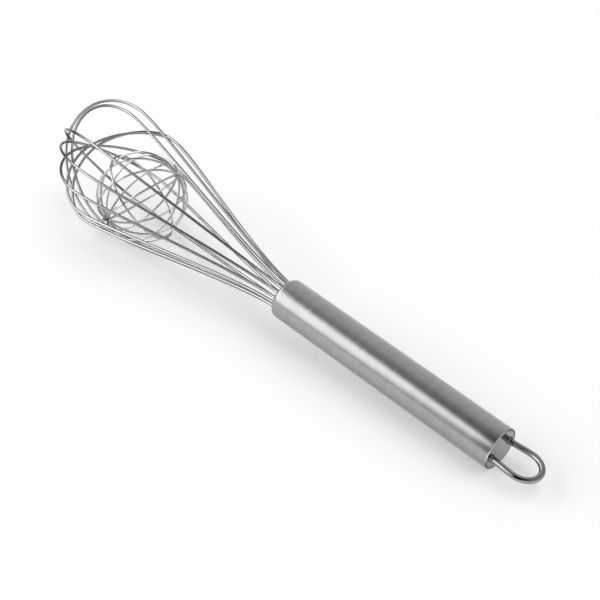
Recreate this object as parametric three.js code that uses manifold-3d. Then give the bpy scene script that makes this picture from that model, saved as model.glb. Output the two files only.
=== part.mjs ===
// Aerator whisk in millimetres, lying on its side: the axis runs along X with the tip towards -X.
// It rests on the rear rim of its handle and on the lowest wires of its balloon.
import * as THREE from "three";
import { mergeVertices } from "three/addons/utils/BufferGeometryUtils.js";
import Module from "manifold-3d";

const FIT = 0.3; // clearance between touching pieces

// Handle: a straight tube with a rounded rear edge and a nose spun in round the wires.
const HANDLE_D = 20;
const HANDLE_LENGTH = 127;
const WALL = 0.8;
const REAR_ROUND = 1.2;
const HANDLE_SIDES = 36;

// Core behind the nose that grips the wire ends.
const PLUG_LENGTH = 18;
const PLUG_BACK = 3.2; // front face behind the mouth

// Flat disc closing the rear end, held by the rounded edge.
const CAP_INSET = 0.1;
const CAP_FLANGE = 1.8;

// Hanging loop: a bent wire whose legs pass through the disc and hook inwards behind it.
const HANG_WIRE_D = 2.4;
const HANG_LEG = 6; // leg from the axis at the disc
const HANG_WIDE = 6.9; // leg from the axis where the bend starts
const HANG_STRAIGHT = 11.5;
const HANG_REACH = 20.5; // wire centre of the bend from the rear face
const HANG_ROLL = 83; // plane of the loop from straight up, degrees
const HOOK_BEND = 2;
const HOOK_END = 2;

// Balloon: seven wire loops, evenly spread at the mouth and swaying as they lie.
const WIRE_D = 1.4;
const WIRE_CIRCLE = 6.3; // radius of the ring of wires at the mouth
const WIRE_TAIL = 18; // length held behind the mouth
const MOUTH_ROLL = 40; // roll of the first wire at the mouth, degrees
const BALLOON_LENGTH = 158.6; // mouth to the outermost tip
const BULGE_AT = 115.5; // mouth to the widest place
const BULGE_R = 32;
const NECK_START = 29; // length over which a wire keeps its direction at the mouth
const NECK_END = 17; // length over which a wire runs straight before the bulge
const NECK_SLOPE = 0.06;
const TIP_FULLNESS = 0.5;
const LEAN = 0.018; // sideways lean of the balloon per unit of length
const LEAN_ROLL = 53;

// Roll and share of the bulge radius of both branches of a loop, and how far its tip stays behind the outermost.
const LOOPS = [
  { roll: [21, 216], bulge: [1.17, 0.88], drop: 0 },
  { roll: [12, 206], bulge: [1.13, 0.87], drop: 3.7 },
  { roll: [-28, 155], bulge: [0.94, 0.88], drop: 1.9 },
  { roll: [-54, 121], bulge: [0.96, 0.85], drop: 5.6 },
  { roll: [-74, 110], bulge: [0.99, 1.13], drop: 11.4 },
  { roll: [-102, 84], bulge: [0.9, 1.11], drop: 13.6 },
  { roll: [-115, 78], bulge: [0.9, 1.05], drop: 17.1 },
];

// Loose ball: meridian ribs gathered in a knot at each of two poles, and a ring round the equator.
const BALL_WIRE_D = 0.9;
const BALL_R = 22.2; // rib centres from the ball centre
const RIBS = 12;
const KNOT_THICK = 2.4;
const BALL_PLAY = 0.95; // clear space all round a centred ball at the place where it lies
const BALL_REST_ROLL = 201; // side of the balloon on which it lies, degrees
const BALL_ROLL = 44.5; // direction of the upper pole, degrees from straight up
const BALL_TILT = 30.7; // tilt of the upper pole towards the handle, degrees
const RIB_PHASE = 23.5;

const handleR = HANDLE_D / 2;
const wireR = WIRE_D / 2;
const mouthR = WIRE_CIRCLE + wireR + FIT;
const boreR = handleR - WALL;
const rearR = handleR - REAR_ROUND;
const hangR = HANG_WIRE_D / 2;
const ballWireR = BALL_WIRE_D / 2;
const ribPitch = BALL_WIRE_D + FIT;
const knotR = (RIBS * ribPitch) / (2 * Math.PI); // the rib ends stand side by side round the knot
const ringR = BALL_R + ribPitch;

const wasm = await Module();
wasm.setup();

const satinSteel = new THREE.MeshStandardMaterial({ color: 0x9a9a9c, metalness: 1, roughness: 0.38 });
const polishedSteel = new THREE.MeshStandardMaterial({ color: 0xb4b5b8, metalness: 1, roughness: 0.15 });
const sealedCore = new THREE.MeshStandardMaterial({ color: 0x55575a, metalness: 0, roughness: 0.7 });

function toSolid(geometry) {
  const bare = geometry.clone();
  bare.deleteAttribute("normal");
  bare.deleteAttribute("uv");
  const merged = mergeVertices(bare, 1e-4);
  const vertProperties = merged.attributes.position.array;
  const triVerts = new Uint32Array(merged.index.array);
  return new wasm.Manifold(new wasm.Mesh({ numProp: 3, vertProperties, triVerts }));
}

function toGeometry(body) {
  const mesh = body.getMesh();
  const geometry = new THREE.BufferGeometry();
  geometry.setAttribute("position", new THREE.BufferAttribute(new Float32Array(mesh.vertProperties), 3));
  geometry.setIndex(new THREE.BufferAttribute(new Uint32Array(mesh.triVerts), 1));
  geometry.computeVertexNormals();
  return geometry;
}

function named(name, geometry, material) {
  const mesh = new THREE.Mesh(geometry, material.clone());
  mesh.name = name;
  return mesh;
}

// Unit direction square to the axis at a roll from straight up, positive towards +Y.
function ray(roll) {
  const angle = THREE.MathUtils.degToRad(roll);
  return new THREE.Vector3(0, Math.sin(angle), Math.cos(angle));
}

// Point at a distance from the rear face along the axis, moved sideways.
function along(distance, sideways) {
  return new THREE.Vector3(-distance, 0, 0).add(sideways);
}

// Round bar along the axis between two distances from the rear face.
function bar(radius, from, to, sides) {
  const geometry = new THREE.CylinderGeometry(radius, radius, to - from, sides);
  geometry.rotateZ(Math.PI / 2);
  geometry.translate(-(from + to) / 2, 0, 0);
  return geometry;
}

// Closed round wire along an open path.
function wire(path, radius, steps, sides) {
  const section = new THREE.Shape();
  for (let i = 0; i <= sides; i++) {
    const angle = (i % sides) * ((2 * Math.PI) / sides);
    const x = radius * Math.cos(angle);
    const y = radius * Math.sin(angle);
    if (i === 0) section.moveTo(x, y);
    else section.lineTo(x, y);
  }
  return new THREE.ExtrudeGeometry(section, { steps, extrudePath: path, bevelEnabled: false });
}

function handleTube() {
  const profile = [];
  const shoulder = handleR - mouthR;
  const arc = (centreR, centreS, radius, from, to, steps) => {
    for (let i = 0; i <= steps; i++) {
      const angle = THREE.MathUtils.degToRad(from + ((to - from) * i) / steps);
      profile.push(new THREE.Vector2(centreR + radius * Math.cos(angle), centreS + radius * Math.sin(angle)));
    }
  };
  arc(rearR, REAR_ROUND, REAR_ROUND, -90, 0, 4);
  arc(mouthR, HANDLE_LENGTH - shoulder, shoulder, 0, 90, 6);
  arc(mouthR, HANDLE_LENGTH - shoulder, shoulder - WALL, 90, 0, 4);
  arc(rearR, REAR_ROUND, REAR_ROUND - WALL, 0, -90, 2);
  profile.push(profile[0].clone());
  const geometry = new THREE.LatheGeometry(profile, HANDLE_SIDES);
  geometry.rotateZ(Math.PI / 2);
  return geometry;
}

function mouthPlug() {
  const front = HANDLE_LENGTH - PLUG_BACK;
  let body = toSolid(bar(boreR - FIT, front - PLUG_LENGTH, front, HANDLE_SIDES));
  for (let i = 0; i < 2 * LOOPS.length; i++) {
    const hole = bar(wireR + FIT, front - PLUG_LENGTH - 1, front + 1, 12);
    const offset = ray(MOUTH_ROLL - (180 * i) / LOOPS.length).multiplyScalar(WIRE_CIRCLE);
    hole.translate(0, offset.y, offset.z);
    body = body.subtract(toSolid(hole));
  }
  return toGeometry(body);
}

const flangeAt = WALL + FIT;
const capBack = flangeAt + CAP_FLANGE;

function endCap() {
  const face = toSolid(bar(rearR - FIT, CAP_INSET, flangeAt + CAP_FLANGE / 2, HANDLE_SIDES));
  const flange = toSolid(bar(boreR - FIT, flangeAt, capBack, HANDLE_SIDES));
  let body = face.add(flange);
  for (const side of [-1, 1]) {
    const hole = bar(hangR + FIT, CAP_INSET - 1, capBack + 1, 20);
    const offset = ray(HANG_ROLL).multiplyScalar(side * HANG_LEG);
    hole.translate(0, offset.y, offset.z);
    body = body.subtract(toSolid(hole));
  }
  return toGeometry(body);
}

function hangingLoop() {
  const hookAt = capBack + FIT + HOOK_BEND;
  const outer = HANG_REACH - HANG_STRAIGHT;
  const round = 0.5523;
  const at = (side, distance, aside) => along(distance, ray(HANG_ROLL).multiplyScalar(side * aside));
  const path = new THREE.CurvePath();
  const half = (side) => {
    const bendTo = at(side, hookAt, HANG_LEG - HOOK_BEND);
    const bendFrom = at(side, hookAt - HOOK_BEND, HANG_LEG);
    const face = at(side, 0, HANG_LEG);
    const wide = at(side, -HANG_STRAIGHT, HANG_WIDE);
    return [
      [at(side, hookAt, HOOK_END), bendTo],
      [bendTo, at(side, hookAt, HANG_LEG), bendFrom],
      [bendFrom, face],
      [face, wide],
      [
        wide,
        at(side, -HANG_STRAIGHT - round * outer, HANG_WIDE),
        at(side, -HANG_REACH, round * HANG_WIDE),
        at(side, -HANG_REACH, 0),
      ],
    ];
  };
  const back = half(-1).reverse();
  for (const points of [...half(1), ...back.map((p) => [...p].reverse())]) {
    if (points.length === 2) path.add(new THREE.LineCurve3(...points));
    else if (points.length === 3) path.add(new THREE.QuadraticBezierCurve3(...points));
    else path.add(new THREE.CubicBezierCurve3(...points));
  }
  return wire(path, hangR, 52, 8);
}

// Path of one balloon wire: a tail in the core, a neck that flares to the bulge and a rounded tip, then back again.
function balloonPath(loop, index) {
  const mouth = HANDLE_LENGTH;
  const bulge = mouth + BULGE_AT;
  const tip = mouth + BALLOON_LENGTH - loop.drop;
  const mouthRoll = MOUTH_ROLL - (180 * index) / LOOPS.length;
  const radii = loop.bulge.map((share) => share * BULGE_R);
  const meanR = (radii[0] + radii[1]) / 2;
  const across = ray(loop.roll[0]).sub(ray(loop.roll[1])).normalize();
  const tipOffset = across.clone().multiplyScalar((radii[0] - radii[1]) / 4);
  const place = (distance, sideways) => {
    const lean = ray(LEAN_ROLL).multiplyScalar(LEAN * (distance - mouth));
    return along(distance, sideways).add(lean);
  };
  const branch = (side) => {
    const start = ray(mouthRoll + 180 * side);
    const out = ray(loop.roll[side]);
    const towards = across.clone().multiplyScalar(1 - 2 * side);
    const neckR = WIRE_CIRCLE + NECK_START * NECK_SLOPE;
    const atMouth = place(mouth, start.clone().multiplyScalar(WIRE_CIRCLE));
    const atBulge = place(bulge, out.clone().multiplyScalar(radii[side]));
    const atTip = place(tip, tipOffset);
    return [
      [along(mouth - WIRE_TAIL, start.clone().multiplyScalar(WIRE_CIRCLE)), atMouth],
      [
        atMouth,
        place(mouth + NECK_START, start.clone().multiplyScalar(neckR)),
        place(bulge - NECK_END, out.clone().multiplyScalar(radii[side])),
        atBulge,
      ],
      [
        atBulge,
        place(bulge + TIP_FULLNESS * (tip - bulge), out.clone().multiplyScalar(radii[side])),
        place(tip, tipOffset.clone().addScaledVector(towards, TIP_FULLNESS * meanR)),
        atTip,
      ],
    ];
  };
  const path = new THREE.CurvePath();
  const back = branch(1).reverse();
  for (const points of [...branch(0), ...back.map((p) => [...p].reverse())]) {
    if (points.length === 2) path.add(new THREE.LineCurve3(...points));
    else path.add(new THREE.CubicBezierCurve3(...points));
  }
  return path;
}

// Arc round the origin from one direction towards another square to it.
class Arc extends THREE.Curve {
  constructor(first, second, radius, from, to) {
    super();
    this.first = first;
    this.second = second;
    this.radius = radius;
    this.from = from;
    this.to = to;
  }

  getPoint(t) {
    const angle = this.from + (this.to - this.from) * t;
    const point = this.first.clone().multiplyScalar(this.radius * Math.cos(angle));
    return point.addScaledVector(this.second, this.radius * Math.sin(angle));
  }
}

const poleTilt = THREE.MathUtils.degToRad(BALL_TILT);
const pole = new THREE.Vector3(Math.sin(poleTilt), 0, 0).addScaledVector(ray(BALL_ROLL), Math.cos(poleTilt));
const first = new THREE.Vector3().crossVectors(pole, new THREE.Vector3(1, 0, 0)).normalize();
const second = new THREE.Vector3().crossVectors(pole, first);

// Clear space between the ball's ribs and ring at a centre and a balloon wire at a point.
function ballGap(centre, point) {
  const from = point.clone().sub(centre);
  const height = from.dot(pole);
  const outward = Math.sqrt(Math.max(0, from.lengthSq() - height * height));
  const turn = Math.atan2(from.dot(second), from.dot(first)) - THREE.MathUtils.degToRad(RIB_PHASE);
  const pitch = (2 * Math.PI) / RIBS;
  const offRib = turn - pitch * Math.round(turn / pitch);
  const inRibPlane = Math.hypot(outward * Math.cos(offRib), height);
  const toRib = Math.hypot(inRibPlane - BALL_R, outward * Math.sin(offRib));
  const toRing = Math.hypot(outward - ringR, height);
  return Math.min(toRib, toRing) - ballWireR - wireR;
}

// Clear space between a ball without openings and a balloon wire at a point.
function shellGap(centre, point) {
  return point.distanceTo(centre) - ringR - ballWireR - wireR;
}

function smallest(gap, centre, points) {
  let near = points[0];
  for (const point of points) {
    if (gap(centre, point) < gap(centre, near)) near = point;
  }
  return near;
}

// Ball centre at a distance from the mouth, moved sideways until the wires round it are equally near.
function centredBall(distance, points) {
  const centre = along(HANDLE_LENGTH + distance, new THREE.Vector3());
  for (let step = 1; step > 0.02; step *= 0.93) {
    const away = centre.clone().sub(smallest(shellGap, centre, points)).setX(0).normalize();
    centre.addScaledVector(away, step);
  }
  return { centre, play: shellGap(centre, smallest(shellGap, centre, points)) };
}

// The ball lies where the wires that draw together towards the handle leave its play, against the wires below it.
function ballSeat(paths) {
  const points = paths.flatMap((path) => path.getSpacedPoints(240));
  let seat = centredBall(NECK_START, points);
  for (let distance = NECK_START; distance < BULGE_AT && seat.play < BALL_PLAY; distance += 0.5) {
    const next = centredBall(distance, points);
    if (next.play > seat.play) seat = next;
  }
  const down = ray(BALL_REST_ROLL);
  const reach = (drop) => seat.centre.clone().addScaledVector(down, drop);
  let clear = 0;
  let deep = BALL_R;
  for (let i = 0; i < 24; i++) {
    const middle = (clear + deep) / 2;
    const at = reach(middle);
    if (ballGap(at, smallest(ballGap, at, points)) > FIT) clear = middle;
    else deep = middle;
  }
  return reach(clear);
}

function ballPieces() {
  const endAngle = Math.asin((knotR + FIT) / BALL_R);
  const pieces = [];
  for (let i = 0; i < RIBS; i++) {
    const angle = THREE.MathUtils.degToRad(RIB_PHASE + (360 * i) / RIBS);
    const out = first.clone().multiplyScalar(Math.cos(angle)).addScaledVector(second, Math.sin(angle));
    const arc = new Arc(pole, out, BALL_R, endAngle, Math.PI - endAngle);
    pieces.push(named(`ball_rib_${i + 1}`, wire(arc, ballWireR, 20, 6), polishedSteel));
  }
  const ring = new Arc(first, second, ringR, 0, 2 * Math.PI);
  pieces.push(named("ball_equator_ring", new THREE.TubeGeometry(ring, 48, ballWireR, 6, true), polishedSteel));
  for (const side of [1, -1]) {
    const knot = new THREE.SphereGeometry(knotR, 16, 10);
    knot.scale(1, KNOT_THICK / (2 * knotR), 1);
    knot.applyQuaternion(new THREE.Quaternion().setFromUnitVectors(new THREE.Vector3(0, 1, 0), pole));
    const centre = pole.clone().multiplyScalar(side * BALL_R * Math.cos(endAngle));
    knot.translate(centre.x, centre.y, centre.z);
    pieces.push(named(side > 0 ? "ball_knot_1" : "ball_knot_2", knot, polishedSteel));
  }
  return pieces;
}

const handle = new THREE.Group();
handle.name = "handle";
handle.add(named("handle_tube", handleTube(), satinSteel));
handle.add(named("mouth_plug", mouthPlug(), sealedCore));
handle.add(named("end_cap", endCap(), satinSteel));
handle.add(named("hanging_loop", hangingLoop(), polishedSteel));

const balloon = new THREE.Group();
balloon.name = "balloon";
const paths = LOOPS.map(balloonPath);
paths.forEach((path, i) => balloon.add(named(`balloon_wire_${i + 1}`, wire(path, wireR, 84, 6), polishedSteel)));

const ball = new THREE.Group();
ball.name = "ball";
ball.add(...ballPieces());
ball.position.copy(ballSeat(paths));

const lying = new THREE.Group();
lying.name = "lying";
lying.add(handle, balloon, ball);

// Height of the lowest vertex of a group when the axis is tilted.
function lowest(group, tilt) {
  let low = Infinity;
  group.traverse((piece) => {
    if (!piece.isMesh) return;
    const position = piece.geometry.getAttribute("position");
    for (let i = 0; i < position.count; i++) {
      const height = position.getZ(i) * Math.cos(tilt) - position.getX(i) * Math.sin(tilt);
      low = Math.min(low, height);
    }
  });
  return low;
}

// The tilt at which the handle and the balloon reach the floor together.
let lower = 0;
let upper = Math.PI / 12;
for (let i = 0; i < 40; i++) {
  const middle = (lower + upper) / 2;
  if (lowest(balloon, middle) < lowest(handle, middle)) lower = middle;
  else upper = middle;
}
lying.rotation.y = (lower + upper) / 2;

const whisk = new THREE.Group();
whisk.name = "aerator_whisk";
whisk.add(lying);
whisk.updateMatrixWorld(true);
const extent = new THREE.Box3().setFromObject(whisk, true);
lying.position.set(-(extent.min.x + extent.max.x) / 2, -(extent.min.y + extent.max.y) / 2, -extent.min.z);

export default whisk;
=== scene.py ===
"""Aerator whisk in metres: an all-steel balloon whisk with a loose wire ball, lying on a white floor."""
import math

import bmesh
import bpy
import numpy as np
from mathutils import Matrix, Vector

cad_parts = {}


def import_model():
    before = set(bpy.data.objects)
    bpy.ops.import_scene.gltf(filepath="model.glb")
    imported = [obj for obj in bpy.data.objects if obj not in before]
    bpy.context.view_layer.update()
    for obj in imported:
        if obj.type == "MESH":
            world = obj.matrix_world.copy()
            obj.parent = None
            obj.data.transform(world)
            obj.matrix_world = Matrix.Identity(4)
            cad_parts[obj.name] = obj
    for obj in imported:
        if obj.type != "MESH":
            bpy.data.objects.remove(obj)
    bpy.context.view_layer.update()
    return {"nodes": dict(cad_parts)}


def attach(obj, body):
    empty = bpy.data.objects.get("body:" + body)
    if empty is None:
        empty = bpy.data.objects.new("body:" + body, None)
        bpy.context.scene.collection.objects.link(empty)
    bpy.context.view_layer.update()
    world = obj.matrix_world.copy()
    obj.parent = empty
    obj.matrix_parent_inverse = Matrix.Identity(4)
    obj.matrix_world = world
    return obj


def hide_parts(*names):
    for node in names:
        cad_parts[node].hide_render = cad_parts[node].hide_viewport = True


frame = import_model()
scene = bpy.context.scene
MM = 0.001

# Sizes that the CAD model has too, in millimetres and degrees, with slopes and shares as plain numbers
HANDLE_D, HANDLE_LENGTH, WALL, FIT = 20, 127, 0.8, 0.3
HANG_LEG, HANG_STRAIGHT, HANG_ROLL = 6, 11.5, 83
WIRE_D, WIRE_CIRCLE, WIRE_TAIL, MOUTH_ROLL = 1.4, 6.3, 18, 40
BALLOON_LENGTH, BULGE_AT, BULGE_R = 158.6, 115.5, 32
NECK_START, NECK_END, NECK_SLOPE, TIP_FULLNESS = 29, 17, 0.06, 0.5
LEAN, LEAN_ROLL = 0.018, 53
# Each balloon wire: rolls of its two branches, their shares of the bulge, how far it stops short of the tip
LOOPS = [
    ((21, 216), (1.17, 0.88), 0),
    ((12, 206), (1.13, 0.87), 3.7),
    ((-28, 155), (0.94, 0.88), 1.9),
    ((-54, 121), (0.96, 0.85), 5.6),
    ((-74, 110), (0.99, 1.13), 11.4),
    ((-102, 84), (0.9, 1.11), 13.6),
    ((-115, 78), (0.9, 1.05), 17.1),
]
BALL_WIRE_D, BALL_R, RIBS = 0.9, 22.2, 12
BALL_ROLL, BALL_TILT, RIB_PHASE = 44.5, 30.7, 23.5

# Sizes of the scene alone, in millimetres, with shares as plain numbers
REAR_EDGE, LIP_ROUND, PAINTED_HIGHLIGHT_DEEP = 0.5, 0.1, 0.4
DISC_BACK, DISC_THICK, DISC_GAP, DISC_EDGE = 0.12, 2, 0.06, 0.08
HOLE_D, DRILL_LENGTH = 3.0, 8
HANG_DRAWN_D, HANG_WIDE, HANG_REACH, LEG_INSIDE = 2.8, 6.7, 20.3, 4
BEAD_D, BEAD_OUT = 0.7, 0.21
BALL_DRAWN_D, CROSSING_HIGH, CROSSING_NEAR = 1.1, 2.16, 0.6
WELD_R, WELD_HIGH, WELD_RIDGES, WELD_LUMPS = 1.0, 1.2, 0.1, 0.06
# Bezier handles: their share of the radius on a quarter bend, and what is kept of them where a ball wire ends
QUARTER_PULL, END_PULL = 0.5523, 0.25


# Places on the whisk

def whisk_axes():
    """Rear centre, axis towards the tip, up and side, read from the handle's own vertices."""
    tube = frame["nodes"]["handle_tube"]
    points = np.array([tube.matrix_world @ v.co for v in tube.data.vertices])
    middle = points.mean(0)
    axis = np.linalg.eigh(np.cov((points - middle).T))[1][:, 2]
    axis = axis if axis[0] < 0 else -axis
    rear = middle + axis * ((points - middle) @ axis).min()
    axis, side = Vector(axis), Vector((0, 1, 0))
    return Vector(rear), axis, side.cross(axis).normalized(), side


REAR, AXIS, UP, SIDE = whisk_axes()


def ray(roll):
    """Unit direction square to the axis at a roll from straight up, positive towards +Y."""
    angle = math.radians(roll)
    return UP * math.cos(angle) + SIDE * math.sin(angle)


def along(distance, sideways=Vector()):
    """Point at a distance in millimetres from the rear face, moved sideways in millimetres."""
    return REAR + (AXIS * distance + sideways) * MM


def placed(spot, x, y, z):
    """Matrix that turns a shape's own axes to three directions and puts it at a spot."""
    return Matrix.Translation(spot) @ Matrix((x, y, z)).transposed().to_4x4()


# Making pieces

def linked(name, mesh, smooth):
    mesh.name = name
    mesh.polygons.foreach_set("use_smooth", [smooth] * len(mesh.polygons))
    obj = bpy.data.objects.new(name, mesh)
    scene.collection.objects.link(obj)
    return obj


def from_bmesh(name, bm, smooth=True):
    mesh = bpy.data.meshes.new(name)
    bm.to_mesh(mesh)
    bm.free()
    return linked(name, mesh, smooth)


def finish_piece(obj, body, material, node):
    """Give a piece its material and body, in the place of a CAD node."""
    obj.data.materials.clear()
    obj.data.materials.append(material)
    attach(obj, body)
    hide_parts(node)


def wire_piece(name, knots, diameter, resolution, sides, cyclic=False):
    """Round wire along Bezier knots of (point, handle before, handle after), as a mesh with its own UVs."""
    curve = bpy.data.curves.new(name, "CURVE")
    curve.dimensions = "3D"
    curve.twist_mode = "MINIMUM"
    curve.resolution_u = resolution
    curve.bevel_depth = diameter / 2 * MM
    curve.bevel_resolution = sides
    curve.use_fill_caps = not cyclic
    spline = curve.splines.new("BEZIER")
    spline.bezier_points.add(len(knots) - 1)
    spline.use_cyclic_u = cyclic
    for point, (co, before, after) in zip(spline.bezier_points, knots):
        point.handle_left_type = point.handle_right_type = "FREE"
        point.co, point.handle_left, point.handle_right = co, before, after
    holder = bpy.data.objects.new(name + "_path", curve)
    scene.collection.objects.link(holder)
    shape = holder.evaluated_get(bpy.context.evaluated_depsgraph_get())
    mesh = bpy.data.meshes.new_from_object(shape)
    bpy.data.objects.remove(holder)
    bpy.data.curves.remove(curve)
    return linked(name, mesh, True)


def knots_of(segments):
    """Bezier knots of a chain of segments, each two points of a line or four of a cubic curve."""
    cubic = []
    for points in segments:
        if len(points) == 2:
            a, b = points
            points = (a, a.lerp(b, 1 / 3), a.lerp(b, 2 / 3), b)
        cubic.append(points)
    knots = [[cubic[0][0], cubic[0][0], cubic[0][1]]]
    for points, after in zip(cubic, cubic[1:] + [None]):
        knots.append([points[3], points[2], after[1] if after else points[3]])
    return knots


def there_and_back(make):
    """Bezier knots out along branch 0 and back along branch 1, both made from their fixed ends."""
    back = [tuple(reversed(points)) for points in reversed(make(1))]
    return knots_of(make(0) + back)


def arc_knots(centre, first, second, radius, start, end, parts):
    """Bezier knots of an arc in the plane of two unit directions, in metres and radians."""
    step = (end - start) / parts
    pull = 4 / 3 * math.tan(step / 4) * radius
    knots = []
    for i in range(parts + 1):
        angle = start + step * i
        at = centre + (first * math.cos(angle) + second * math.sin(angle)) * radius
        tangent = (second * math.cos(angle) - first * math.sin(angle)) * pull
        knots.append([at, at - tangent, at + tangent])
    return knots


def ring_knots(centre, first, second, radius):
    return arc_knots(centre, first, second, radius, 0, 2 * math.pi, 8)[:-1]


def arc_points(centre_r, centre_s, radius, start, end, steps):
    """Points of (radius, distance) on a round stretch of a turned profile, in millimetres and degrees."""
    angles = [math.radians(start + (end - start) * i / steps) for i in range(steps + 1)]
    return [(centre_r + radius * math.cos(a), centre_s + radius * math.sin(a)) for a in angles]


def turned_piece(name, profile, steps):
    """Profile of (radius, distance) in millimetres turned once round the whisk's axis."""
    bm = bmesh.new()
    verts = [bm.verts.new((r * MM, 0, s * MM)) for r, s in profile]
    edges = [bm.edges.new(pair) for pair in zip(verts, verts[1:])]
    bmesh.ops.spin(bm, geom=verts + edges, cent=(0, 0, 0), axis=(0, 0, 1), dvec=(0, 0, 0),
                   angle=2 * math.pi, steps=steps, use_merge=True, use_duplicate=False)
    bmesh.ops.remove_doubles(bm, verts=bm.verts, dist=1e-7)
    bmesh.ops.recalc_face_normals(bm, faces=bm.faces)
    bmesh.ops.transform(bm, matrix=placed(REAR, UP.cross(AXIS), UP, AXIS), verts=bm.verts)
    return from_bmesh(name, bm)


def joined(obj, *others):
    """One piece from several: the others' meshes go into the first."""
    bm = bmesh.new()
    for part in (obj, *others):
        bm.from_mesh(part.data)
    bm.to_mesh(obj.data)
    bm.free()
    for part in others:
        bpy.data.objects.remove(part)
    return obj


# Nodes

def wire_up(tree, *pairs):
    for source, target in pairs:
        tree.links.new(source, target)


def maths(tree, operation, second=None):
    """Math node, with its second number set where that is a constant."""
    node = tree.nodes.new("ShaderNodeMath")
    node.operation = operation
    if second is not None:
        node.inputs[1].default_value = second
    return node


def ramp(tree, low, high, start=0.3, end=0.7):
    node = tree.nodes.new("ShaderNodeMapRange")
    node.inputs["From Min"].default_value = start
    node.inputs["From Max"].default_value = end
    node.inputs["To Min"].default_value = low
    node.inputs["To Max"].default_value = high
    return node


def noise(tree, scale, detail, roughness):
    node = tree.nodes.new("ShaderNodeTexNoise")
    node.inputs["Scale"].default_value = scale
    node.inputs["Detail"].default_value = detail
    node.inputs["Roughness"].default_value = roughness
    return node


def relief(tree, strength, depth):
    node = tree.nodes.new("ShaderNodeBump")
    node.inputs["Strength"].default_value = strength
    node.inputs["Distance"].default_value = depth
    return node


# Materials

def grain_group():
    """Fine lines drawn along one direction: a vector in, line strength from 0 to 1 out."""
    group = bpy.data.node_groups.new("drawn_lines", "ShaderNodeTree")
    group.interface.new_socket("Vector", in_out="INPUT", socket_type="NodeSocketVector")
    group.interface.new_socket("Lines", in_out="OUTPUT", socket_type="NodeSocketFloat")
    entry = group.nodes.new("NodeGroupInput")
    leave = group.nodes.new("NodeGroupOutput")
    fine = noise(group, 1.0, 3.0, 0.6)
    wide = noise(group, 0.23, 2.0, 0.5)
    wide_share = maths(group, "MULTIPLY", 0.4)
    both = maths(group, "MULTIPLY_ADD", 0.6)
    wire_up(group, (entry.outputs[0], fine.inputs["Vector"]), (entry.outputs[0], wide.inputs["Vector"]),
            (wide.outputs[0], wide_share.inputs[0]), (fine.outputs[0], both.inputs[0]),
            (wide_share.outputs[0], both.inputs[2]), (both.outputs[0], leave.inputs[0]))
    return group


GRAIN = grain_group()


def steel(name, tone, spread, rough, lines, bump, edge, on_wire=False):
    """Steel with fine lines: its tone and how far the lines change it, roughness from and to, how close the
    lines lie in each direction (along the handle and across it, or in the wire's UVs), their bump, and the
    edge: painted shade, the share of the tone left where the surface turns away from the camera, with where
    that starts and ends, which darkens the colour along the silhouettes in place of dark reflections."""
    material = bpy.data.materials.new(name)
    material.use_nodes = True
    tree = material.node_tree
    shader = tree.nodes["Principled BSDF"]
    shader.inputs["Metallic"].default_value = 1.0

    coords = tree.nodes.new("ShaderNodeTexCoord")
    mapping = tree.nodes.new("ShaderNodeMapping")
    grain = tree.nodes.new("ShaderNodeGroup")
    grain.node_tree = GRAIN
    if on_wire:
        mapping.inputs["Scale"].default_value = lines
    else:
        mapping.vector_type = "TEXTURE"
        mapping.inputs["Scale"].default_value = [1 / close for close in lines]
        mapping.inputs["Rotation"].default_value = (0, math.atan2(AXIS.z, -AXIS.x), 0)
    wire_up(tree, (coords.outputs["UV" if on_wire else "Object"], mapping.inputs["Vector"]),
            (mapping.outputs[0], grain.inputs[0]))

    lined = ramp(tree, tone - spread, tone + spread)
    # Painted shade: the tone falls where the surface turns away from the camera, standing in for dark
    # reflections along the silhouettes.
    facing = tree.nodes.new("ShaderNodeLayerWeight")
    painted_edge_shade = ramp(tree, 1.0, *edge)
    shade = maths(tree, "MULTIPLY")
    cool = maths(tree, "MULTIPLY", 1.012)
    tint = tree.nodes.new("ShaderNodeCombineColor")
    wire_up(tree, (grain.outputs[0], lined.inputs["Value"]), (facing.outputs["Facing"], painted_edge_shade.inputs["Value"]),
            (painted_edge_shade.outputs[0], shade.inputs[0]), (lined.outputs[0], shade.inputs[1]),
            (shade.outputs[0], tint.inputs[0]), (shade.outputs[0], tint.inputs[1]),
            (shade.outputs[0], cool.inputs[0]), (cool.outputs[0], tint.inputs[2]),
            (tint.outputs[0], shader.inputs["Base Color"]))

    cloud = noise(tree, 90.0, 4.0, 0.6)
    grain_half = maths(tree, "MULTIPLY", 0.5)
    uneven = maths(tree, "MULTIPLY_ADD", 0.5)
    smear = ramp(tree, *rough)
    wire_up(tree, (coords.outputs["Object"], cloud.inputs["Vector"]), (cloud.outputs[0], uneven.inputs[0]),
            (grain.outputs[0], grain_half.inputs[0]), (grain_half.outputs[0], uneven.inputs[2]),
            (uneven.outputs[0], smear.inputs["Value"]), (smear.outputs[0], shader.inputs["Roughness"]))

    raised = relief(tree, bump, 0.00005)
    wire_up(tree, (grain.outputs[0], raised.inputs["Height"]), (raised.outputs[0], shader.inputs["Normal"]))
    return material


# The last three numbers of each steel set its painted edge shade, which darkens the tone towards the
# silhouettes; the turned disc has none.
SATIN = steel("satin_steel", 0.43, 0.05, (0.26, 0.32), (1500, 200, 200), 0.04, (0.8, 0.05, 0.55))
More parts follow.
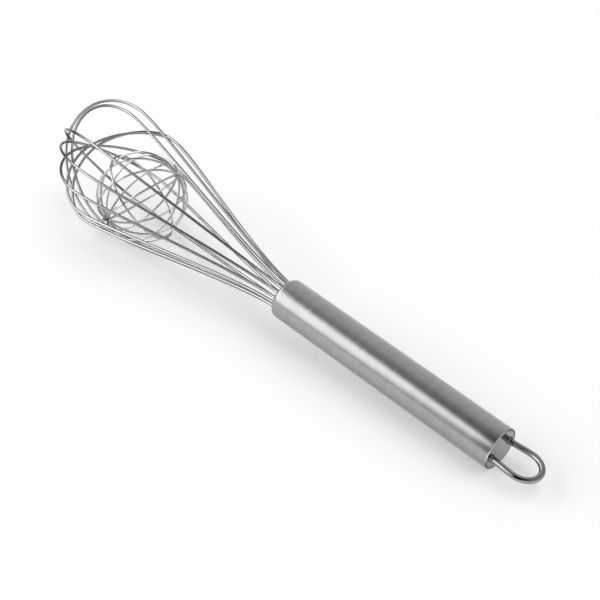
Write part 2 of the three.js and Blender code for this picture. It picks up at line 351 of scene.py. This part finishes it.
# Polished rear edge of the handle: smoother than the satin steel, and toned far brighter, which is a painted
# highlight.
LIP_WITH_PAINTED_HIGHLIGHT = steel("polished_edge_painted_highlight", 0.92, 0.03, (0.1, 0.16), (300, 300, 300), 0.1, (0.06, 0.18, 0.5))
CAP = steel("turned_disc", 0.3, 0.02, (0.1, 0.18), (1500, 260, 260), 0.15, (1.0, 0.3, 0.9))
WELD = steel("weld_knot", 0.82, 0.08, (0.16, 0.32), (900, 900, 900), 0.5, (0.3, 0.3, 0.9))
WIRE = steel("drawn_wire", 0.6, 0.02, (0.04, 0.08), (40, 9, 1), 0.12, (0.03, 0.17, 0.57), on_wire=True)
HANG = steel("loop_wire", 0.4, 0.02, (0.03, 0.07), (12, 12, 1), 0.08, (0.05, 0.24, 0.7), on_wire=True)
BALL = steel("ball_wire", 0.74, 0.02, (0.05, 0.1), (40, 9, 1), 0.12, (0.08, 0.25, 0.7), on_wire=True)


def resin():
    """Dark, slightly grainy filling of the handle's mouth."""
    material = bpy.data.materials.new("sealed_core")
    material.use_nodes = True
    tree = material.node_tree
    shader = tree.nodes["Principled BSDF"]
    shader.inputs["Roughness"].default_value = 0.6
    coords = tree.nodes.new("ShaderNodeTexCoord")
    cloud = noise(tree, 900.0, 3.0, 0.5)
    tone = ramp(tree, 0.02, 0.05)
    raised = relief(tree, 0.3, 0.0001)
    wire_up(tree, (coords.outputs["Object"], cloud.inputs["Vector"]),
            (cloud.outputs[0], tone.inputs["Value"]), (tone.outputs[0], shader.inputs["Base Color"]),
            (cloud.outputs[0], raised.inputs["Height"]), (raised.outputs[0], shader.inputs["Normal"]))
    return material


# Handle

handle_r = HANDLE_D / 2
bore_r = handle_r - WALL


def handle_shell():
    """Open tube with a rounded rear edge and a nose drawn in to the mouth, polished round the rear edge and
    toned much brighter there, a painted highlight.
    """
    mouth_r = WIRE_CIRCLE + WIRE_D / 2 + FIT
    shoulder = handle_r - mouth_r
    nose_at = HANDLE_LENGTH - shoulder
    straight = nose_at - REAR_EDGE
    profile = arc_points(bore_r + LIP_ROUND, LIP_ROUND, LIP_ROUND, 180, 270, 5)
    profile += arc_points(handle_r - REAR_EDGE, REAR_EDGE, REAR_EDGE, -90, 0, 8)
    profile += [(handle_r, REAR_EDGE + straight * i / 12) for i in range(1, 12)]
    profile += arc_points(mouth_r, nose_at, shoulder, 0, 90, 14)
    profile += arc_points(mouth_r, nose_at, shoulder - WALL, 90, 0, 8)
    profile.append(profile[0])
    tube = turned_piece("handle_shell", profile, 160)
    finish_piece(tube, "whisk", SATIN, "handle_tube")
    # The faces nearest the rear face get the polished steel with its brighter tone, the painted highlight
    # along the rear edge.
    tube.data.materials.append(LIP_WITH_PAINTED_HIGHLIGHT)
    for face in tube.data.polygons:
        if (face.center - REAR).dot(AXIS) < PAINTED_HIGHLIGHT_DEEP * MM:
            face.material_index = 1


def leg_drill(side):
    """Round cutter where one leg of the hanging loop passes through the disc."""
    bm = bmesh.new()
    bmesh.ops.create_cone(bm, cap_ends=True, segments=40, radius1=HOLE_D / 2 * MM, radius2=HOLE_D / 2 * MM,
                          depth=DRILL_LENGTH * MM)
    spot = along(DISC_BACK, ray(HANG_ROLL) * HANG_LEG * side)
    bmesh.ops.transform(bm, matrix=placed(spot, UP.cross(AXIS), UP, AXIS), verts=bm.verts)
    return from_bmesh("drill", bm, smooth=False)


def rear_disc():
    """Rear disc with a broken edge, set just behind the rim, and a hole for each leg of the hanging loop."""
    disc_r = bore_r - DISC_GAP
    inner = DISC_BACK + DISC_THICK
    rings = [(disc_r * i / 8, DISC_BACK) for i in range(7)]
    edge = arc_points(disc_r - DISC_EDGE, DISC_BACK + DISC_EDGE, DISC_EDGE, -90, 0, 5)
    disc = turned_piece("rear_disc", rings + edge + [(disc_r, inner), (0, inner)], 128)
    drills = [leg_drill(side) for side in (-1, 1)]
    for drill in drills:
        cut = disc.modifiers.new("hole", "BOOLEAN")
        cut.operation = "DIFFERENCE"
        cut.solver = "EXACT"
        cut.object = drill
    shape = bpy.data.meshes.new_from_object(disc.evaluated_get(bpy.context.evaluated_depsgraph_get()))
    disc.modifiers.clear()
    disc.data = shape
    shape.name = "rear_disc"
    shape.polygons.foreach_set("use_smooth", [False] * len(shape.polygons))
    for drill in drills:
        bpy.data.objects.remove(drill)
    finish_piece(disc, "whisk", CAP, "end_cap")


def hang_branch(branch):
    """From behind the disc to the middle of the bend, on one side of the hanging loop."""
    side = 1 - 2 * branch

    def at(distance, aside):
        return along(distance, ray(HANG_ROLL) * side * aside)
    bend = QUARTER_PULL * (HANG_REACH - HANG_STRAIGHT)
    face, wide = at(0, HANG_LEG), at(-HANG_STRAIGHT, HANG_WIDE)
    return [
        (at(LEG_INSIDE, HANG_LEG), face),
        (face, at(-HANG_STRAIGHT / 3, HANG_LEG), at(-HANG_STRAIGHT * 2 / 3, HANG_WIDE), wide),
        (wide, at(-HANG_STRAIGHT - bend, HANG_WIDE), at(-HANG_REACH, QUARTER_PULL * HANG_WIDE),
         at(-HANG_REACH, 0)),
    ]


def hanging_wire():
    """Bent wire loop with a small bead where each leg enters the disc."""
    loop = wire_piece("hanging_wire", there_and_back(hang_branch), HANG_DRAWN_D, 20, 12)
    bead_r = (HANG_DRAWN_D / 2 + BEAD_OUT) * MM
    for side in (-1, 1):
        spot = along(DISC_BACK - BEAD_OUT, ray(HANG_ROLL) * HANG_LEG * side)
        knots = ring_knots(spot, ray(HANG_ROLL), ray(HANG_ROLL + 90), bead_r)
        loop = joined(loop, wire_piece("bead", knots, BEAD_D, 8, 5, cyclic=True))
    finish_piece(loop, "whisk", HANG, "hanging_loop")


handle_shell()
rear_disc()
frame["nodes"]["mouth_plug"].data.materials.clear()
frame["nodes"]["mouth_plug"].data.materials.append(resin())
hanging_wire()


# Balloon

def balloon_branch(index, branch):
    """Tail, neck and half of the tip of one branch of a balloon wire."""
    rolls, shares, drop = LOOPS[index]
    mouth, bulge = HANDLE_LENGTH, HANDLE_LENGTH + BULGE_AT
    tip = mouth + BALLOON_LENGTH - drop
    radii = [share * BULGE_R for share in shares]
    across = (ray(rolls[0]) - ray(rolls[1])).normalized()
    offset = across * (radii[0] - radii[1]) / 4
    start = ray(MOUTH_ROLL - 180 * index / len(LOOPS) + 180 * branch)
    out, outwards = ray(rolls[branch]) * radii[branch], across * (1 - 2 * branch)

    def place(distance, sideways):
        return along(distance, sideways + ray(LEAN_ROLL) * LEAN * (distance - mouth))
    at_mouth = place(mouth, start * WIRE_CIRCLE)
    at_bulge = place(bulge, out)
    full = TIP_FULLNESS * (radii[0] + radii[1]) / 2
    return [
        (along(mouth - WIRE_TAIL, start * WIRE_CIRCLE), at_mouth),
        (at_mouth, place(mouth + NECK_START, start * (WIRE_CIRCLE + NECK_START * NECK_SLOPE)),
         place(bulge - NECK_END, out), at_bulge),
        (at_bulge, place(bulge + TIP_FULLNESS * (tip - bulge), out), place(tip, offset + outwards * full),
         place(tip, offset)),
    ]


for i in range(len(LOOPS)):
    knots = there_and_back(lambda branch, i=i: balloon_branch(i, branch))
    wire = wire_piece(f"balloon_loop_{i + 1}", knots, WIRE_D, 40, 6)
    finish_piece(wire, "whisk", WIRE, f"balloon_wire_{i + 1}")


# Ball

tilt = math.radians(BALL_TILT)
pole = -AXIS * math.sin(tilt) + ray(BALL_ROLL) * math.cos(tilt)
first = pole.cross(-AXIS).normalized()
second = pole.cross(first)
ring_node = frame["nodes"]["ball_equator_ring"]
ball_at = ring_node.matrix_world @ Vector(np.mean([v.co for v in ring_node.data.vertices], axis=0))
knot_r = RIBS * (BALL_WIRE_D + FIT) / (2 * math.pi)


def crossed_end(i, side, out):
    """End of a ball wire just past a pole, and its handle: each wire crosses at a height of its own."""
    height = (7 * i + 5 * (side < 0)) % RIBS / (RIBS - 1) - 0.5
    lift = BALL_R + CROSSING_HIGH * height
    past = knot_r * (CROSSING_NEAR + (1 - CROSSING_NEAR) * (5 * i % RIBS) / (RIBS - 1))
    at = ball_at + (pole * side * lift - out * past) * MM
    return at, at + out * past * MM


def ball_meridian(i):
    """One wire of the ball, from past one pole to past the other."""
    angle = math.radians(RIB_PHASE + 360 * i / RIBS)
    out = first * math.cos(angle) + second * math.sin(angle)
    end_angle = math.asin((knot_r + FIT) / BALL_R)
    knots = arc_knots(ball_at, pole, out, BALL_R * MM, end_angle, math.pi - end_angle, 6)
    for end, handle in ((0, 1), (-1, 2)):
        knots[end][handle] = knots[end][0].lerp(knots[end][handle], END_PULL)
    start, lead = crossed_end(i, 1, out)
    stop, tail = crossed_end(i, -1, out)
    knots = [[start, start, lead]] + knots + [[stop, tail, stop]]
    wire = wire_piece(f"ball_meridian_{i + 1}", knots, BALL_DRAWN_D, 12, 5)
    finish_piece(wire, "ball", BALL, f"ball_rib_{i + 1}")


def ball_belt():
    """Ring wire round the ball's middle."""
    knots = ring_knots(ball_at, first, second, (BALL_R + BALL_WIRE_D + FIT) * MM)
    ring = wire_piece("ball_belt", knots, BALL_DRAWN_D, 16, 5, cyclic=True)
    finish_piece(ring, "ball", BALL, "ball_equator_ring")


def ball_weld(number, side):
    """Small weld at a pole, lumpy where the wires run into it."""
    bm = bmesh.new()
    bmesh.ops.create_uvsphere(bm, u_segments=48, v_segments=24, radius=1)
    for v in bm.verts:
        angle = math.atan2(v.co.y, v.co.x)
        flat = math.hypot(v.co.x, v.co.y)
        lump = 1 + WELD_RIDGES * flat * math.cos(RIBS * angle) + WELD_LUMPS * math.sin(3 * angle + 5 * v.co.z)
        v.co = Vector((v.co.x * WELD_R, v.co.y * WELD_R, v.co.z * WELD_HIGH)) * lump * MM
    spot = ball_at + pole * side * BALL_R * MM
    bmesh.ops.transform(bm, matrix=placed(spot, first, second, pole * side), verts=bm.verts)
    bmesh.ops.recalc_face_normals(bm, faces=bm.faces)
    weld = from_bmesh(f"ball_weld_{number}", bm)
    finish_piece(weld, "ball", WELD, f"ball_knot_{number}")


for i in range(RIBS):
    ball_meridian(i)
ball_belt()
ball_weld(1, 1)
ball_weld(2, -1)


# Floor, light and camera

def floor():
    """White floor that keeps the shadows, lifted a little for the eye and for what the steel mirrors."""
    bm = bmesh.new()
    bmesh.ops.create_grid(bm, x_segments=1, y_segments=1, size=6)
    obj = from_bmesh("floor", bm, smooth=False)
    material = bpy.data.materials.new("white_floor")
    material.use_nodes = True
    tree = material.node_tree
    shader = tree.nodes["Principled BSDF"]
    shader.inputs["Base Color"].default_value = (0.8, 0.8, 0.8, 1)
    shader.inputs["Roughness"].default_value = 0.9
    shader.inputs["Specular IOR Level"].default_value = 0.0
    shader.inputs["Emission Color"].default_value = (1, 1, 1, 1)
    light = tree.nodes.new("ShaderNodeLightPath")
    seen = maths(tree, "MAXIMUM")
    seen_through = maths(tree, "MAXIMUM")
    lift = maths(tree, "MULTIPLY", 0.26)
    wire_up(tree, (light.outputs["Is Camera Ray"], seen.inputs[0]),
            (light.outputs["Is Glossy Ray"], seen.inputs[1]), (seen.outputs[0], seen_through.inputs[0]),
            (light.outputs["Is Transmission Ray"], seen_through.inputs[1]),
            (seen_through.outputs[0], lift.inputs[0]), (lift.outputs[0], shader.inputs["Emission Strength"]))
    obj.data.materials.append(material)


def towards(azimuth, elevation):
    """Unit direction from the whisk: degrees from +X towards +Y, and degrees above the floor."""
    a, e = math.radians(azimuth), math.radians(elevation)
    return Vector((math.cos(e) * math.cos(a), math.cos(e) * math.sin(a), math.sin(e)))


def world():
    """Grey studio, lighter at its walls than at its ceiling, with a dark strip behind the camera and a light
    patch at the far left."""
    sky = bpy.data.worlds.new("studio")
    scene.world = sky
    sky.use_nodes = True
    tree = sky.node_tree
    back = tree.nodes["Background"]
    coords = tree.nodes.new("ShaderNodeTexCoord")
    split = tree.nodes.new("ShaderNodeSeparateXYZ")
    height = ramp(tree, 0.7, 0.3, 0.0, 0.6)

    def spot(direction, start, end, low, high):
        """From low to high as a direction comes nearer to the spot's own, between two cosines."""
        near = tree.nodes.new("ShaderNodeVectorMath")
        near.operation = "DOT_PRODUCT"
        near.inputs[1].default_value = direction
        soft = ramp(tree, low, high, start, end)
        soft.interpolation_type = "SMOOTHSTEP"
        wire_up(tree, (coords.outputs["Generated"], near.inputs[0]),
                (near.outputs["Value"], soft.inputs["Value"]))
        return soft.outputs[0]

    def blend(operation, *sources):
        node = maths(tree, operation)
        wire_up(tree, *zip(sources, node.inputs))
        return node.outputs[0]

    wire_up(tree, (coords.outputs["Generated"], split.inputs[0]),
            (split.outputs["Z"], height.inputs["Value"]))
    middle = spot(towards(-98, 50), 0.74, 0.93, 1.0, 0.01)
    low_end = spot(towards(-95, 26), 0.88, 0.97, 1.0, 0.03)
    high_end = spot(towards(-92, 76), 0.9, 0.975, 1.0, 0.55)
    dark = blend("MINIMUM", blend("MINIMUM", middle, low_end), high_end)
    light = spot(towards(130, 30), 0.7, 0.95, 0.0, 0.4)
    wire_up(tree, (blend("MULTIPLY_ADD", height.outputs[0], dark, light), back.inputs["Color"]))


def sun(name, direction, angle, strength):
    """Wide soft sun for the floor and its shadows, which isn't mirrored in the steel."""
    lamp = bpy.data.lights.new(name, "SUN")
    lamp.angle = math.radians(angle)
    lamp.energy = strength
    obj = bpy.data.objects.new(name, lamp)
    obj.rotation_euler = direction.to_track_quat("Z", "Y").to_euler()
    obj.visible_glossy = False
    scene.collection.objects.link(obj)


def area_light(name, direction, distance, size, power):
    """Soft lamp seen from the whisk's middle in a direction, turned to face it."""
    lamp = bpy.data.lights.new(name, "AREA")
    lamp.shape = "RECTANGLE"
    lamp.size, lamp.size_y = size
    lamp.energy = power
    obj = bpy.data.objects.new(name, lamp)
    obj.location = direction * distance
    obj.rotation_euler = direction.to_track_quat("Z", "Y").to_euler()
    scene.collection.objects.link(obj)


def camera():
    """The photograph's camera: found from the handle's ends, its edges and the wires."""
    lens = bpy.data.cameras.new("camera")
    lens.sensor_width = 36
    lens.lens = 85.14
    obj = bpy.data.objects.new("camera", lens)
    spot = Vector((0.35257, -0.34871, 0.45267))
    forward = Vector((-0.52178, 0.53296, -0.66611)).normalized()
    right = Vector((0.71918, 0.69479, -0.00745)).normalized()
    obj.matrix_world = placed(spot, right, right.cross(forward), -forward)
    scene.collection.objects.link(obj)
    scene.camera = obj


floor()
world()
sun("key", towards(48, 60), 60, 1.15)
area_light("softbox", towards(-145, 34), 2.5, (3.2, 2.05), 45)
camera()
scene.view_settings.view_transform = "Standard"
